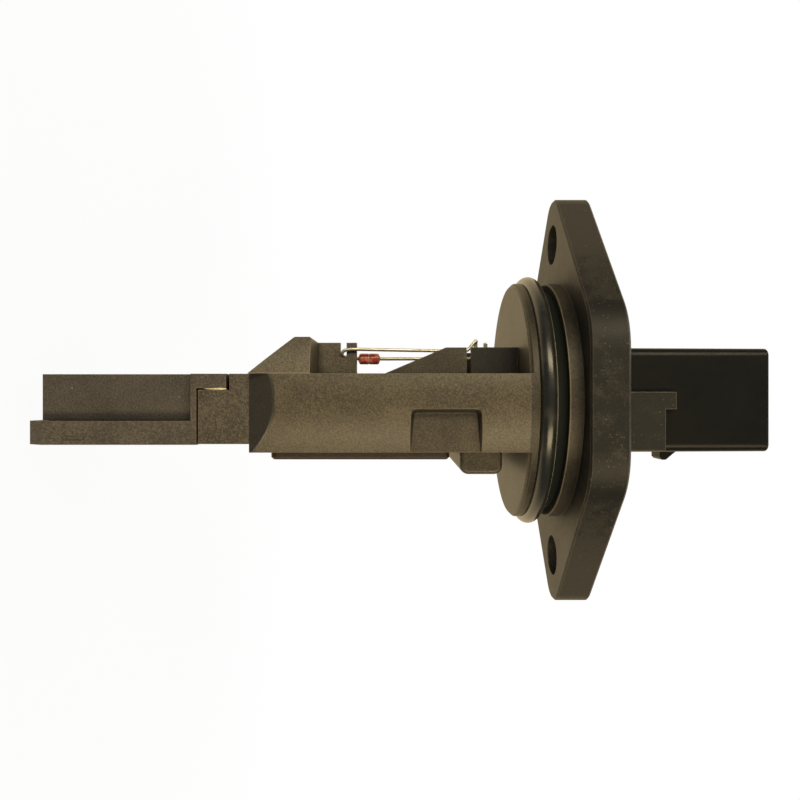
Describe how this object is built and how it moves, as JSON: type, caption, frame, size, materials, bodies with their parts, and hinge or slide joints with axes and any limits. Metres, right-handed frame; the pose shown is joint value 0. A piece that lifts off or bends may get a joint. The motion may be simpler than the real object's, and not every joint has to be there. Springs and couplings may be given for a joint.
{
  "type": "mass airflow sensor",
  "caption": "Plug-in hot-film mass airflow sensor with a bolt flange, sealed spigot, blade with a measuring channel, glass temperature probe and plug socket.",
  "frame": {"origin": "middle of the bolt pattern, on the mounting face of the flange, on the spigot axis", "axes": "+Z along the spigot axis towards the plug socket, X along the line of the bolt holes, Y along the air flow with the inlet at +Y"},
  "size_m": [0.056, 0.0368, 0.0892],
  "materials": {
    "housing_plastic": "satin moulded plastic with fine fibre speckle",
    "channel_plastic": "satin moulded plastic",
    "cover_plastic": "satin moulded plastic",
    "seal_rubber": "smooth moulded rubber",
    "adhesive": "cured adhesive",
    "carrier_metal": "rolled sheet",
    "board_ceramic": "white ceramic with printed tracks",
    "chip_black": "moulded chip body",
    "capacitor_tan": "fired ceramic",
    "resistor_black": "glazed film",
    "sensor_silicon": "polished silicon",
    "conductor_foil": "gold-coloured conductor",
    "bond_metal": "bright drawn wire",
    "terminal_tin": "tin-plated strip",
    "post_tin": "tin-plated wire",
    "lead_metal": "drawn wire",
    "bead_glass": "red-coated glass"
  },
  "bodies": {
    "root": {"main_housing": "housing_plastic", "seal_ring": "seal_rubber", "electronics_cover": "cover_plastic", "cover_adhesive": "adhesive", "channel_base": "channel_plastic", "measuring_channel": "channel_plastic", "carrier_plate": "carrier_metal", "sensor_chip": "sensor_silicon", "sensor_foil": "conductor_foil", "circuit_board": "board_ceramic", "evaluation_chip": "chip_black", "chip_capacitors": "capacitor_tan", "chip_resistors": "resistor_black", "bond_wires": "bond_metal", "ntc_glass_bead": "bead_glass", "ntc_lead_long": "lead_metal", "ntc_lead_short": "lead_metal", "ntc_post_long": "post_tin", "ntc_post_short": "post_tin", "terminal_1": "terminal_tin", "terminal_2": "terminal_tin", "terminal_3": "terminal_tin", "terminal_4": "terminal_tin", "terminal_5": "terminal_tin"}
  },
  "joints": []
}
